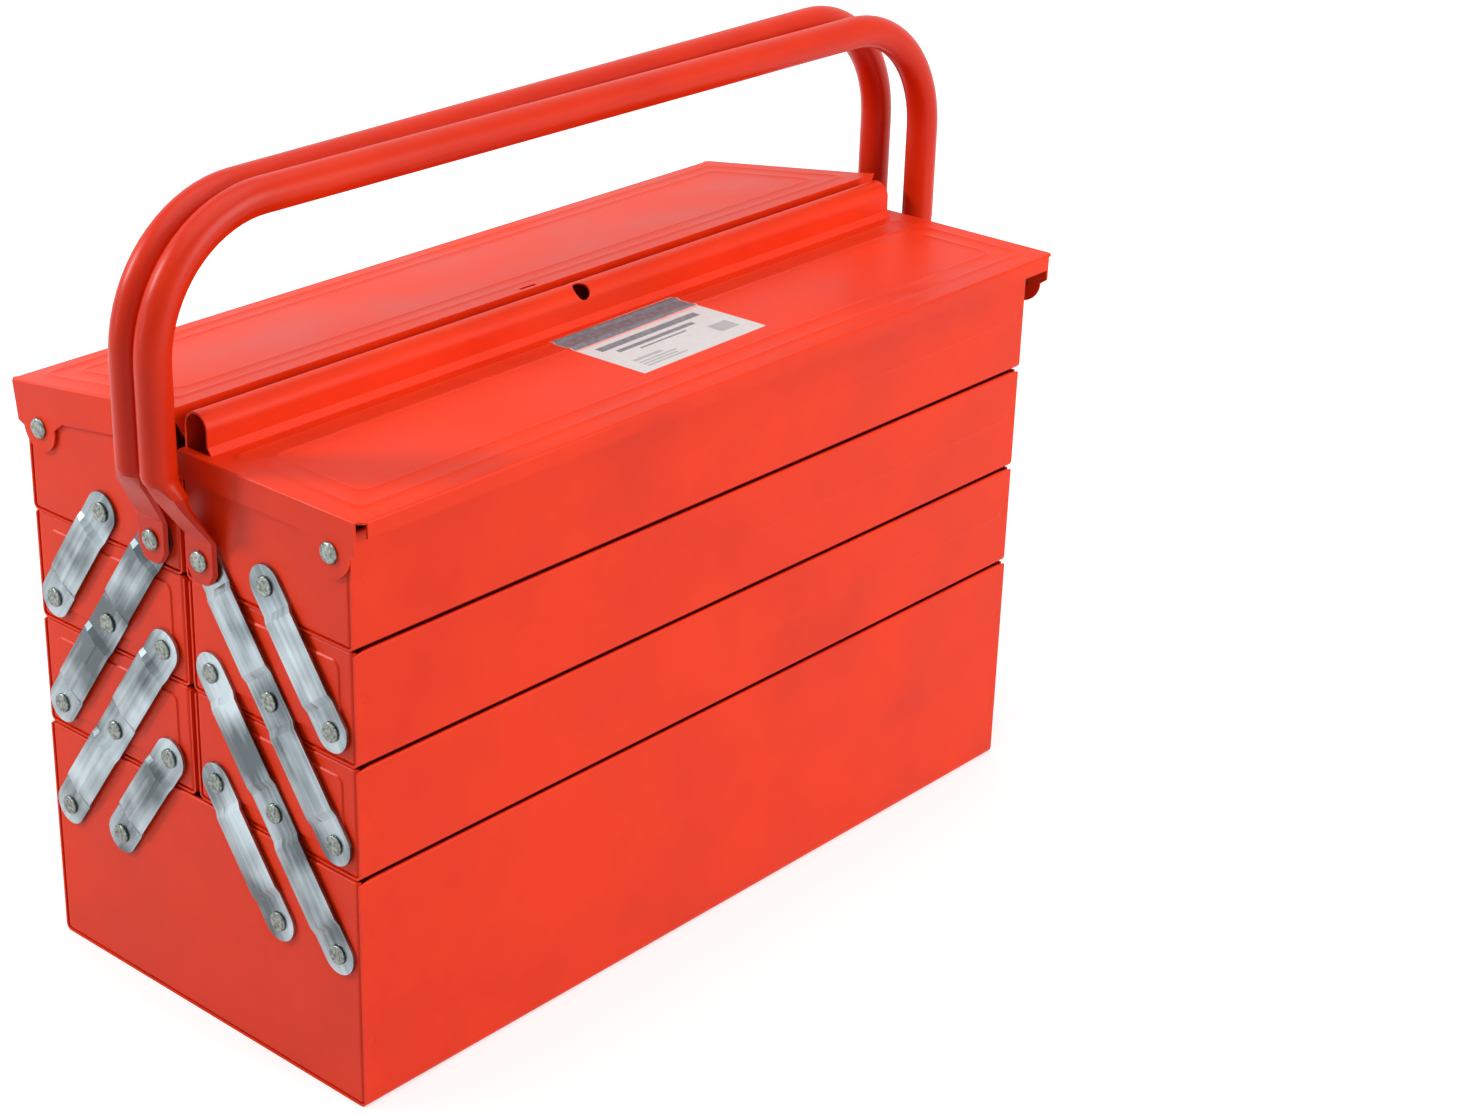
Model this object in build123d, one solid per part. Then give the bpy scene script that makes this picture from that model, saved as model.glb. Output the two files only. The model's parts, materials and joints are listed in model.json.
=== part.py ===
from build123d import *
import os
from math import atan2, cos, degrees, hypot, radians, sin, sqrt

# Cantilever toolbox in painted sheet steel, in millimetres.
# X runs along the box, -Y is the front half and +Y the rear half, +Z is up.
# The origin lies on the floor, under the middle of the bottom box.

# The carcass
body_length = 430.0
body_width = 200.0
box_height = 106.0
tray_height = 49.7
level_gap = 0.8
half_gap = 2.6
sheet = 1.0
bend_radius = 3.0
hem_depth = 5.0
hem_relief = 1.5
end_flange = 10.0
emboss_height = 0.6
emboss_margin = 6.5

# The linkage
first_column = 15.2
last_column_margin = 12.4
rivet_rise = 13.2
link_width = 18.0
link_sheet = 1.4
link_clearance = 0.15
rib_height = 3.8
rib_edge = 0.5
rib_slope = 3.0
rib_ramp = 5.0
rib_start = 11.5

# The rivets
shank_radius = 2.5
pivot_clearance = 0.08
head_radius = 4.6
head_height = 1.5
head_clearance = 0.1
tail_radius = 4.0
tail_height = 1.0

# The lids
lid_rise = 6.5
lid_overhang = 6.7
lid_gap_near = 0.5
lid_overhang_far = 12.0
lip_height = 7.5
lid_flange = 12.0
lid_rest_gap = 0.3
lid_hinge_inset = 10.0
lid_hinge_drop = 10.0
rear_lid_tilt = 8.3
rear_lid_lift = 3.0
rear_lid_flange = 16.0
ear_radius = 10.5
ear_foot_run = 17.0
ear_taper = 0.4
ear_shoulder = 3.0
ear_neck_angle = 35.0
lip_notch = 4.0
lid_corner_cut = 3.4
frame_margin = 9.5
frame_pitch = 10.5
frame_width = 2.5
frame_height = 0.5
frame_bead_gap = 4.75
bead_radius = 6.85
bead_height = 16.4
bead_inset_near = 4.5
bead_inset_far = 9.5
bead_foot_rise = 3.0
bead_foot_run = 2.0
hasp_hole_radius = 4.2
hasp_hole_x = 4.0
hasp_hole_tilt = 45.0
hasp_slot_x = -18.0
hasp_slot_length = 10.0
hasp_slot_width = 2.5
inner_flange_relief = 11.0
shoulder_radius = 4.0

# The handles
tube_radius = 7.5
tube_wall = 1.2
bar_rise = 102.5
bar_bend = 57.0
bar_gap = 0.4
bar_splay = 6.5
leg_gap_near = 8.5
leg_gap_far = 8.5
leg_end_rise = 2.0
tab_sheet = 2.5
tab_clearance = 0.15
tab_width = 20.0
tab_rib_gap = 1.5
tab_chamfer = 6.0
crank_rise = 10.0
squash_width = 19.0
squash_sheet = 7.0
squash_drop = 7.5
neck_sheet = 5.0
neck_drop = 12.5
neck_shift = 1.5
corner_relief = 0.1

# How far the cutting shapes run past the faces that they open
beyond = 1.0

# Values worked out from the sizes above
half_length = body_length / 2
half_width = body_width / 2
tray_pitch = tray_height + level_gap
levels = 3
rivet_drop = tray_height - rivet_rise
rim_top = box_height + levels * tray_pitch
inner_y = half_gap / 2
rivet_pitch = (half_width - first_column - last_column_margin) / 2
columns = [first_column + i * rivet_pitch for i in range(3)]
link_length = hypot(rivet_pitch, tray_pitch)
plate_inner = half_length - sheet
lobe_inner = half_length + link_clearance
lobe_outer = lobe_inner + link_sheet
tab_inner = lobe_outer + tab_clearance
tab_outer = tab_inner + tab_sheet
handle_pivot_z = rim_top - rivet_drop
lid_top = rim_top + lid_rise
lid_half = half_width + lid_overhang
lid_x0 = -half_length - lid_gap_near - sheet
lid_x1 = half_length + lid_overhang_far
lid_hinge_y = half_width - lid_hinge_inset
lid_hinge_z = rim_top - lid_hinge_drop
bead_back = -inner_y
bead_middle = bead_back - bead_radius
bead_front = bead_back - 2 * bead_radius
bead_spring_z = lid_top + bead_height - bead_radius
bar_z = rim_top + bar_rise
leg_end_z = rim_top + leg_end_rise
near_leg_x = -half_length - leg_gap_near - tube_radius
far_leg_x = lid_x1 + leg_gap_far + tube_radius
tab_reach = rib_start - tab_rib_gap


def block(x0, x1, y0, y1, z0, z1):
    """A box between two corners."""
    middle = Pos((x0 + x1) / 2, (y0 + y1) / 2, (z0 + z1) / 2)
    return middle * Box(x1 - x0, y1 - y0, z1 - z0)


def rod_x(radius, x0, x1, y, z):
    """A round bar along X between two ends."""
    middle = Pos((x0 + x1) / 2, y, z)
    return middle * Rot(0, 90, 0) * Cylinder(radius, abs(x1 - x0))


def patch(y0, y1, z0, z1):
    """A rectangle in the Y-Z plane, given by two corners."""
    return Pos((y0 + y1) / 2, (z0 + z1) / 2) * Rectangle(y1 - y0, z1 - z0)


def to_right(shape):
    """The same piece at the far end."""
    return mirror(shape, about=Plane.YZ)


def to_rear(shape):
    """The same piece in the rear half."""
    return mirror(shape, about=Plane.XZ)


def rivet_z(level):
    """Height of the rivets on the box (level 0) or on a tray (1 to 3)."""
    return box_height + level * tray_pitch - rivet_drop


def tray_bottom(level):
    """Underside of a tray, level 1 being the lowest."""
    return box_height + level * tray_pitch - tray_height


def bottom_edges(shape):
    """The long lower edges that are bent round."""
    return shape.edges().filter_by(Axis.X).group_by(Axis.Z)[0]


def pan(end_x, y0, y1, z0, z1):
    """Bottom and two long walls folded from one sheet, with hemmed rims."""
    outer = block(-end_x, end_x, y0, y1, z0, z1)
    outer = fillet(bottom_edges(outer), bend_radius)
    inner_x = end_x + beyond
    inner = block(-inner_x, inner_x, y0 + sheet, y1 - sheet, z0 + sheet, z1 + beyond)
    inner = fillet(bottom_edges(inner), bend_radius - sheet)
    shell = outer - inner
    hem_x = end_x - 2 * sheet
    for y in (y0 + sheet, y1 - 2 * sheet):
        shell += block(-hem_x, hem_x, y, y + sheet, z1 - hem_depth, z1)
    return shell


def end_sheet(end_x, y0, y1, z0, z1, holes, embossed):
    """Near end wall, flanged to sit inside the pan, with its rivet holes."""
    inside = end_x - sheet
    cut_x = end_flange - end_x + beyond
    cut_z = z1 + beyond
    outer = block(-end_x, end_flange - end_x, y0 + sheet, y1 - sheet, z0 + sheet, z1)
    outer = fillet(bottom_edges(outer), bend_radius - sheet)
    hollow = block(-inside, cut_x, y0 + 2 * sheet, y1 - 2 * sheet, z0 + 2 * sheet, cut_z)
    relief_z = z1 - hem_depth - hem_relief
    relief = block(-inside, cut_x, y0, y1, relief_z, cut_z)
    plate = outer - hollow - relief
    plate += block(-inside, sheet - inside, y0 + sheet, y1 - sheet, z1 - hem_depth, z1)
    if embossed:
        m = emboss_margin
        field = block(-end_x - emboss_height, -end_x, y0 + m, y1 - m, z0 + m, z1 - m)
        m += sheet
        recess = block(-inside - emboss_height, -inside, y0 + m, y1 - m, z0 + m, z1 - m)
        plate = plate + field - recess
    for y, z in holes:
        plate -= rod_x(shank_radius, -half_length - beyond, beyond - inside, y, z)
    return plate


def rivet(y, z, stack_end, radius_in_gap=shank_radius, gap_end=plate_inner):
    """Near-end rivet: tail inside, shank through the stack, domed head outside."""
    head_base = stack_end + head_clearance
    shank = rod_x(shank_radius, -head_base, -plate_inner, y, z)
    tail = rod_x(tail_radius, -plate_inner, tail_height - plate_inner, y, z)
    dome_radius = (head_radius**2 + head_height**2) / (2 * head_height)
    dome_x = head_base + head_height - dome_radius
    ball = Pos(-dome_x, y, z) * Sphere(dome_radius)
    head = ball & rod_x(head_radius, -head_base - head_height - beyond, -head_base, y, z)
    solid = shank + tail + head
    if gap_end > plate_inner:
        solid += rod_x(radius_in_gap, -gap_end, -half_length, y, z)
    return solid


def rib():
    """The pressed rib of one link span, as an outer and an inner shape."""
    length = link_length - 2 * rib_start
    width = link_width - 2 * rib_edge
    side = sqrt(rib_slope**2 + rib_height**2)
    side_wall = link_sheet * side / rib_height
    ramp_wall = link_sheet * hypot(rib_ramp, rib_height) / rib_height
    top = Pos(0, 0, rib_height) * Rectangle(length - 2 * rib_ramp, width - 2 * rib_slope)
    outer = loft([Sketch() + Rectangle(length, width), Sketch() + top])
    inner_z = rib_height - link_sheet
    shrink = inner_z / rib_height
    low = Rectangle(length - 2 * ramp_wall, width - 2 * side_wall)
    high_length = length - 2 * ramp_wall - 2 * rib_ramp * shrink
    high_width = width - 2 * side_wall - 2 * rib_slope * shrink
    high = Pos(0, 0, inner_z) * Rectangle(high_length, high_width)
    inner = loft([Sketch() + low, Sketch() + high])
    return outer, inner


def link(spans):
    """A flat strip with rounded ends, a rib in each span and a hole at each pivot.

    It lies along +X from its lower pivot, with its back on the X-Y plane."""
    total = spans * link_length
    strip = Pos(total / 2, 0, 0) * SlotCenterToCenter(total, link_width)
    solid = extrude(strip, link_sheet)
    outer, inner = rib()
    for i in range(spans):
        middle = Pos((i + 0.5) * link_length, 0, 0)
        solid = solid + middle * outer - middle * inner
    for i in range(spans + 1):
        hole = Cylinder(shank_radius + pivot_clearance, 4 * link_sheet)
        solid -= Pos(i * link_length, 0, 0) * hole
    return solid


def placed_link(spans, level, column):
    """A link on the near end of the front half, standing on one of its rivets."""
    foot = (-lobe_inner, -columns[column], rivet_z(level))
    slant = Plane(origin=foot, x_dir=(0, rivet_pitch, tray_pitch), z_dir=(-1, 0, 0))
    return slant.location * link(spans)


def lid_ear(flange, lift):
    """Rounded ear that hangs from the end flange round the hinge rivet."""
    y, z = -lid_hinge_y, lid_hinge_z - lift
    low = lid_top - flange
    foot_y = y + ear_foot_run
    slope_y = foot_y - (low - z) * ear_taper
    neck_y = ear_radius * cos(radians(ear_neck_angle))
    neck_z = z - ear_radius * sin(radians(ear_neck_angle))
    neck = Polygon(
        (-lid_half, lid_top - sheet),
        (-lid_half, low + ear_shoulder),
        (y - neck_y, neck_z),
        (y + neck_y, neck_z),
        (slope_y, z),
        (foot_y, low),
        (foot_y, lid_top - sheet),
        align=None,
    )
    return neck + Pos(y, z) * Circle(ear_radius)


def lid_end_face(inner_edge, flange, lift):
    """Outline of a lid's end flange with its ear and rivet hole."""
    face = patch(-lid_half, inner_edge, lid_top - flange, lid_top) + lid_ear(flange, lift)
    hole = Pos(-lid_hinge_y, lid_hinge_z - lift) * Circle(shank_radius + pivot_clearance)
    return face - hole


def slab_x(sketch, x0, x1):
    """A Y-Z outline drawn out along X."""
    return Pos(x0, 0, 0) * extrude(Plane.YZ * sketch, x1 - x0, dir=(1, 0, 0))


def frames(x0, x1, y0, y1):
    """Two pressed rectangular frames on a lid, one inside the other."""
    ridges = []
    top = lid_top + frame_height
    for i in range(2):
        m = frame_margin + i * frame_pitch
        n = m + frame_width
        ridge = block(x0 + m, x1 - m, y0 + m, y1 - m, lid_top, top)
        ridge -= block(x0 + n, x1 - n, y0 + n, y1 - n, lid_top - beyond, top + beyond)
        ridges.append(ridge)
    return ridges


def lid_shell(panel_edge, flange_edge, flange, lift):
    """Panel, front lip and two end flanges with ears; lift is how much lower the hinge sits."""
    panel = block(lid_x0, lid_x1, -lid_half, panel_edge, lid_top - sheet, lid_top)
    lip_low = lid_top - lip_height
    lip = block(lid_x0, lid_x1, -lid_half, sheet - lid_half, lip_low, lid_top - sheet)
    face = lid_end_face(flange_edge, flange, lift)
    near = slab_x(face, lid_x0, lid_x0 + sheet)
    far = slab_x(face, lid_x1 - sheet, lid_x1)
    solid = panel + lip + near + far
    for x in (lid_x0 + sheet, lid_x1 - sheet - lip_notch):
        back = 2 * sheet - lid_half
        solid -= block(x, x + lip_notch, -lid_half - beyond, back, lip_low - beyond, lid_top - sheet)
    low = lid_top - flange - ear_shoulder
    for x, side in ((lid_x0, 1), (lid_x1, -1)):
        corner = Polygon(
            (x - side * beyond, -lid_half - beyond),
            (x + side * (lid_corner_cut + beyond), -lid_half - beyond),
            (x - side * beyond, lid_corner_cut + beyond - lid_half),
            align=None,
        )
        solid -= Pos(0, 0, low) * extrude(corner, lid_top + beyond - low, dir=(0, 0, 1))
    return solid


def front_lid():
    """Lid with a hollow bead along its inner edge; its back leg rests on the rim."""
    foot_y = bead_front - bead_foot_run
    foot_z = lid_top + bead_foot_rise
    steep = bead_foot_rise / bead_foot_run
    wall = sheet * hypot(1, steep)
    under_z = foot_z + steep * sheet - wall
    under_y = foot_y + (wall - sheet) / steep
    bead_x0 = lid_x0 + bead_inset_near
    bead_x1 = lid_x1 - bead_inset_far
    solid = lid_shell(foot_y, bead_back, lid_flange, 0)
    for x0, x1 in ((lid_x0, bead_x0), (bead_x1, lid_x1)):
        solid += block(x0, x1, foot_y, bead_back, lid_top - sheet, lid_top)
    slope = Polygon(
        (foot_y, lid_top),
        (bead_front, foot_z),
        (bead_front + sheet, foot_z),
        (bead_front + sheet, under_z),
        (under_y, lid_top - sheet),
        (foot_y, lid_top - sheet),
        align=None,
    )
    arch = Pos(bead_middle, bead_spring_z) * (Circle(bead_radius) - Circle(bead_radius - sheet))
    arch &= patch(bead_front, bead_back, bead_spring_z, lid_top + bead_height)
    front_leg = patch(bead_front, bead_front + sheet, under_z, bead_spring_z)
    back_leg = patch(bead_back - sheet, bead_back, rim_top + lid_rest_gap, bead_spring_z)
    outline = slope + front_leg + arch + back_leg
    solid += slab_x(outline, bead_x0, bead_x1)
    solid += frames(lid_x0, lid_x1, -lid_half, foot_y + frame_margin - frame_bead_gap)
    punch = Pos(hasp_hole_x, bead_middle, bead_spring_z) * Rot(hasp_hole_tilt, 0, 0)
    punch = punch * Pos(0, 0, bead_radius) * Cylinder(hasp_hole_radius, bead_radius)
    return solid - punch


def rear_lid():
    """Plain lid that slopes up to stand just clear of the front lid's bead."""
    tilt = radians(rear_lid_tilt)
    up = lid_top + rear_lid_lift - lid_hinge_z
    reach = (lid_hinge_y - inner_y + up * sin(tilt)) / cos(tilt)
    edge = reach - lid_hinge_y
    solid = lid_shell(edge, edge - inner_flange_relief, rear_lid_flange, rear_lid_lift)
    solid += frames(lid_x0, lid_x1, -lid_half, edge)
    slot = block(0, hasp_slot_length, -2 * hasp_slot_width, -hasp_slot_width, -2 * sheet, 2 * sheet)
    solid -= Pos(hasp_slot_x, edge, lid_top) * slot
    hinge = Pos(0, -lid_hinge_y, lid_hinge_z)
    solid = hinge * Rot(rear_lid_tilt, 0, 0) * Pos(0, lid_hinge_y, rear_lid_lift - lid_hinge_z) * solid
    edge_z = lid_hinge_z + reach * sin(tilt) + up * cos(tilt)
    stop_x0 = lid_x0 + inner_flange_relief
    stop_x1 = lid_x1 - inner_flange_relief
    rest_z = rim_top + lid_rest_gap
    stop = block(stop_x0, stop_x1, -inner_y - sheet, -inner_y, rest_z, edge_z - sheet / 2)
    return to_rear(solid + stop)


def flat_section(thickness, width, x, y, z):
    """A rounded rectangle, thin in X and wide in Y."""
    radius = thickness / 2 - corner_relief
    return Sketch() + Pos(x, y, z) * RectangleRounded(thickness, width, radius)


def handle_end(sign, leg_x, leg_y):
    """Flattened end of a leg: two pressed steps down to the riveted tab."""
    tab_x = sign * (tab_inner + tab_outer) / 2
    pivot_y = -first_column
    crank_z = handle_pivot_z + crank_rise
    step_x = leg_x - sign * (tube_radius - squash_sheet / 2) / 2
    step_y = (2 * leg_y + pivot_y) / 3
    neck_x = step_x - sign * neck_shift
    plug_width = 2 * (tube_radius - corner_relief)
    sections = [
        flat_section(plug_width, plug_width, leg_x, leg_y, leg_end_z + beyond),
        flat_section(plug_width, plug_width, leg_x, leg_y, leg_end_z - beyond),
        flat_section(squash_sheet, squash_width, step_x, step_y, leg_end_z - squash_drop),
        flat_section(neck_sheet, squash_width, neck_x, step_y, leg_end_z - neck_drop),
        flat_section(tab_sheet, tab_width, tab_x, pivot_y, crank_z),
    ]
    neck = loft(sections, ruled=True)
    low = handle_pivot_z - tab_reach
    half = tab_width / 2
    c = tab_chamfer
    outline = Polygon(
        (pivot_y - half, crank_z),
        (pivot_y - half, low + c),
        (pivot_y - half + c, low),
        (pivot_y + half - c, low),
        (pivot_y + half, low + c),
        (pivot_y + half, crank_z),
        align=None,
    )
    outline -= Pos(pivot_y, handle_pivot_z) * Circle(shank_radius + pivot_clearance)
    tab = slab_x(outline, tab_x - tab_sheet / 2, tab_x + tab_sheet / 2)
    return neck + tab


def front_handle():
    """Bent tube with flattened ends; its bar stands away from its twin at the far end."""
    near_y = -bar_gap / 2 - tube_radius
    far_y = near_y - bar_splay
    points = [
        (near_leg_x, near_y, leg_end_z),
        (near_leg_x, near_y, bar_z),
        (far_leg_x, far_y, bar_z),
        (far_leg_x, far_y, leg_end_z),
    ]
    route = FilletPolyline(*points, radius=bar_bend)
    start = Plane(origin=points[0], z_dir=(0, 0, 1))
    ring = Circle(tube_radius) - Circle(tube_radius - tube_wall)
    tube = sweep(start * ring, path=route)
    near = handle_end(-1, near_leg_x, near_y)
    far = handle_end(1, far_leg_x, far_y)
    return tube + near + far


def write(name, *shapes):
    """Save one node, as one solid or as a group of separate solids."""
    solids = [solid for shape in shapes for solid in shape.solids()]
    node = solids[0] if len(solids) == 1 else Compound(children=solids)
    export_step(node, "parts/" + name + ".step")


def both_ends(shapes):
    """Near-end pieces together with their twins at the far end."""
    return [*shapes, *[to_right(shape) for shape in shapes]]


os.makedirs("parts", exist_ok=True)

# Bottom box
box_holes = [(sign * y, rivet_z(0)) for sign in (-1, 1) for y in columns[1:]]
box_end = end_sheet(half_length, -half_width, half_width, 0, box_height, box_holes, False)
write("box_pan", pan(half_length, -half_width, half_width, 0, box_height))
write("box_left_end", box_end)
write("box_right_end", to_right(box_end))
write("box_rivets", *both_ends([rivet(y, z, lobe_outer) for y, z in box_holes]))

# Tray halves with their ends and rivets
tray_rivets = {1: columns, 2: columns, 3: columns[1:2]}
for level in (1, 2, 3):
    z0 = tray_bottom(level)
    z1 = z0 + tray_height
    embossed = level < 3
    end_x = half_length - emboss_height if embossed else half_length
    plain_holes = [(-y, rivet_z(level)) for y in tray_rivets[level]]
    holes = list(plain_holes)
    if level == 3:
        holes.append((-first_column, rivet_z(3)))
        holes.append((-lid_hinge_y, lid_hinge_z))
    tray_pan = pan(end_x, -half_width, -inner_y, z0, z1)
    tray_end = end_sheet(end_x, -half_width, -inner_y, z0, z1, holes, embossed)
    rivets = both_ends([rivet(y, z, lobe_outer) for y, z in plain_holes])
    for half, turn in (("front", lambda s: s), ("rear", to_rear)):
        name = half + "_tray_" + str(level)
        write(name + "_pan", turn(tray_pan))
        write(name + "_left_end", turn(tray_end))
        write(name + "_right_end", turn(to_right(tray_end)))
        write(name + "_rivets", *[turn(r) for r in rivets])

# Links: name, spans, and the level and column of the lower pivot
link_kinds = [
    ("lower_short_link", 1, 0, 1),
    ("lower_long_link", 2, 0, 2),
    ("upper_long_link", 2, 1, 2),
    ("upper_short_link", 1, 2, 2),
]
for name, spans, level, column in link_kinds:
    left = placed_link(spans, level, column)
    right = to_right(left)
    write("front_left_" + name, left)
    write("front_right_" + name, right)
    write("rear_left_" + name, to_rear(left))
    write("rear_right_" + name, to_rear(right))

# Lids and their hinge rivets; at the far end the ear stands off on a shoulder
near_hinge = rivet(-lid_hinge_y, lid_hinge_z, -lid_x0)
far_hinge = to_right(
    rivet(-lid_hinge_y, lid_hinge_z, lid_x1, shoulder_radius, lid_x1 - sheet - link_clearance)
)
write("front_lid", front_lid())
write("rear_lid", rear_lid())
write("front_lid_rivets", near_hinge, far_hinge)
write("rear_lid_rivets", to_rear(near_hinge), to_rear(far_hinge))

# Handles and their rivets
handle = front_handle()
pins = both_ends([rivet(-first_column, handle_pivot_z, tab_outer)])
write("front_handle", handle)
write("rear_handle", to_rear(handle))
write("front_handle_rivets", *pins)
write("rear_handle_rivets", *[to_rear(pin) for pin in pins])

fold_angle = 2 * degrees(atan2(rivet_pitch, tray_pitch))
print("rim height", rim_top, "link", round(link_length, 2), "fold angle", round(fold_angle, 2))
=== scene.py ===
import json
import math
from collections import Counter

import bpy
from mathutils import Matrix, Vector


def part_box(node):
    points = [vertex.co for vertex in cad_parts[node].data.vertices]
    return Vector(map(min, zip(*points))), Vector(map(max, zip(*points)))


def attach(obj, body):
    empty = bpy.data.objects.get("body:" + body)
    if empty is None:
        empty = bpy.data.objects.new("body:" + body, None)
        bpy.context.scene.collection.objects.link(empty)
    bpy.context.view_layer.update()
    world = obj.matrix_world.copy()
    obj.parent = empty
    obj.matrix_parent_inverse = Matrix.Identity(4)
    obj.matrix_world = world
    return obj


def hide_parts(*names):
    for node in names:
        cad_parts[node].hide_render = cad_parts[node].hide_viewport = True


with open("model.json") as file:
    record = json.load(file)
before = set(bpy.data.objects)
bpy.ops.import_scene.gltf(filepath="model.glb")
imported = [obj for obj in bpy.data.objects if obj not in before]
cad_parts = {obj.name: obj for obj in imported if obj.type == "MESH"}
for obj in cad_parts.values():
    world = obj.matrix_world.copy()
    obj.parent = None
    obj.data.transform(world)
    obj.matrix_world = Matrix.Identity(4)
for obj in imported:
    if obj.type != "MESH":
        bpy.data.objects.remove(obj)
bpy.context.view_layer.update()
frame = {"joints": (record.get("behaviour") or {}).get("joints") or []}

# A folding steel toolbox. All lengths are metres, written as so many mm.
# Left is the end near the camera (-X), front is the half near the camera (-Y).
mm = 0.001
tiny = 0.01 * mm
mostly = 0.9  # how far a face or an edge points along an axis, when it is picked by that
fully = 0.99
hardly = 0.1
rivetHole = 2.6 * mm  # radius
drillReach = 5 * mm
halves = {"front": -1, "rear": 1}
ends = {"left": -1, "right": 1}

joints = {joint["name"]: joint for joint in frame["joints"]}


def pivotOf(name):
    place = joints[name]["pos_m"]
    return abs(place[1]), place[2]


# Rivet columns, counted outward from the middle, and rivet rows, counted upward from the box
pivots = [pivotOf(f"front_{name}") for name in ("fold", "tray_1_pivot", "tray_2_pivot", "tray_3_pivot")]
columns = [place[0] for place in reversed(pivots[:3])]
rows = [place[1] for place in pivots]
lidHinge = pivotOf("front_lid_hinge")
linkStep = (columns[1] - columns[0], rows[1] - rows[0])
linkLength = math.hypot(*linkStep)
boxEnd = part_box("box_pan")[1].x
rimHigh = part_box("front_tray_3_pan")[1].z


def same(a, b):
    return abs(a - b) < tiny


def everyFace(p, n):
    return True


# Helpers that do what a hand does: hold one piece, pick its faces or edges, then shape them
def deselectAll():
    if bpy.context.object and bpy.context.object.mode != "OBJECT":
        bpy.ops.object.mode_set(mode="OBJECT")
    bpy.ops.object.select_all(action="DESELECT")


def hold(piece):  # the one piece that the next operators work on
    deselectAll()
    piece.select_set(True)
    bpy.context.view_layer.objects.active = piece


def settle(name):  # names the new primitive and puts its place into its mesh
    piece = bpy.context.object
    bpy.ops.object.transform_apply(location=True, rotation=True, scale=True)
    piece.name = name
    piece.data.name = name
    return piece


def addBlock(name, low, high):
    deselectAll()
    middle = [(a + b) / 2 for a, b in zip(low, high)]
    bpy.ops.mesh.primitive_cube_add(size=1, location=middle, scale=[b - a for a, b in zip(low, high)])
    return settle(name)


def addPlane(name, x0, x1, y0, y1, z):
    deselectAll()
    place = ((x0 + x1) / 2, (y0 + y1) / 2, z)
    bpy.ops.mesh.primitive_plane_add(size=1, location=place)
    bpy.context.object.scale = (x1 - x0, y1 - y0, 1)
    return settle(name)


def addRod(name, radius, low, high):  # an upright cylinder
    deselectAll()
    bpy.ops.mesh.primitive_cylinder_add(vertices=32, radius=radius, depth=high - low,
                                        location=(0, 0, (low + high) / 2))
    return settle(name)


# Selects what lies and points as the test says, and stays in edit mode; the kind rim means open edges
def pick(piece, kind, test):
    hold(piece)
    bpy.ops.object.mode_set(mode="EDIT")
    bpy.ops.mesh.select_mode(type="EDGE" if kind == "rim" else kind)
    bpy.ops.mesh.select_all(action="DESELECT")
    bpy.ops.object.mode_set(mode="OBJECT")
    mesh = piece.data
    if kind == "FACE":
        for face in mesh.polygons:
            face.select = bool(test(face.center, face.normal))
    elif kind == "VERT":
        for point in mesh.vertices:
            point.select = bool(test(point.co))
    else:
        shared = Counter(key for face in mesh.polygons for key in face.edge_keys)
        for edge in mesh.edges:
            a, b = (mesh.vertices[i].co for i in edge.vertices)
            found = test((a + b) / 2, (b - a).normalized())
            edge.select = bool(found) and (kind == "EDGE" or shared[edge.key] == 1)
    bpy.ops.object.mode_set(mode="EDIT")


def pickAll(piece):
    hold(piece)
    bpy.ops.object.mode_set(mode="EDIT")
    bpy.ops.mesh.select_all(action="SELECT")


def extrude(move):
    bpy.ops.mesh.extrude_region_move(TRANSFORM_OT_translate={"value": move})


def widen(share):  # a flat step outward, about the Z axis
    extrude((0, 0, 0))
    bpy.ops.transform.resize(value=(share, share, 1), center_override=(0, 0, 0))


def nudge(piece, test, move):
    pick(piece, "VERT", test)
    bpy.ops.transform.translate(value=move)


def cut(piece, test, place, normal):
    pick(piece, "FACE", test)
    bpy.ops.mesh.bisect(plane_co=place, plane_no=normal)


def mergeDoubles(piece):
    pickAll(piece)
    bpy.ops.mesh.remove_doubles(threshold=5 * tiny)


def pointOut(piece, right):  # all normals to one side, the one that right(largest face) asks for
    pickAll(piece)
    bpy.ops.mesh.normals_make_consistent(inside=False)
    bpy.ops.object.mode_set(mode="OBJECT")
    if not right(max(piece.data.polygons, key=lambda face: face.area)):
        pickAll(piece)
        bpy.ops.mesh.flip_normals()


def modify(piece, kind, **settings):
    hold(piece)
    modifier = piece.modifiers.new(kind.title(), kind)
    for key, value in settings.items():
        setattr(modifier, key, value)
    bpy.ops.object.modifier_apply(modifier=modifier.name)


def thicken(piece, sheet):
    modify(piece, "SOLIDIFY", thickness=sheet, offset=-1, use_even_offset=True)


def soften(piece, width, angle=32):
    modify(piece, "BEVEL", width=width, segments=2, limit_method="ANGLE",
           angle_limit=math.radians(angle), miter_outer="MITER_ARC")
    hold(piece)
    bpy.ops.object.shade_smooth_by_angle(angle=math.radians(angle))


def carve(piece, tool):
    modify(piece, "BOOLEAN", object=tool, operation="DIFFERENCE", solver="EXACT")
    bpy.data.objects.remove(tool)


def together(name, pieces):
    deselectAll()
    for piece in pieces:
        piece.select_set(True)
    bpy.context.view_layer.objects.active = pieces[0]
    bpy.ops.object.join()
    pieces[0].name = name
    pieces[0].data.name = name
    return pieces[0]


def mirrored(piece, name, flip):  # a copy with its own mesh, turned over on the axes where flip is -1
    hold(piece)
    bpy.ops.object.duplicate(linked=False)
    twin = bpy.context.object
    twin.name = name
    twin.data.name = name
    pickAll(twin)
    bpy.ops.transform.resize(value=flip, center_override=(0, 0, 0))
    if math.prod(flip) < 0:
        bpy.ops.mesh.flip_normals()
    bpy.ops.object.mode_set(mode="OBJECT")
    return twin


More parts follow.
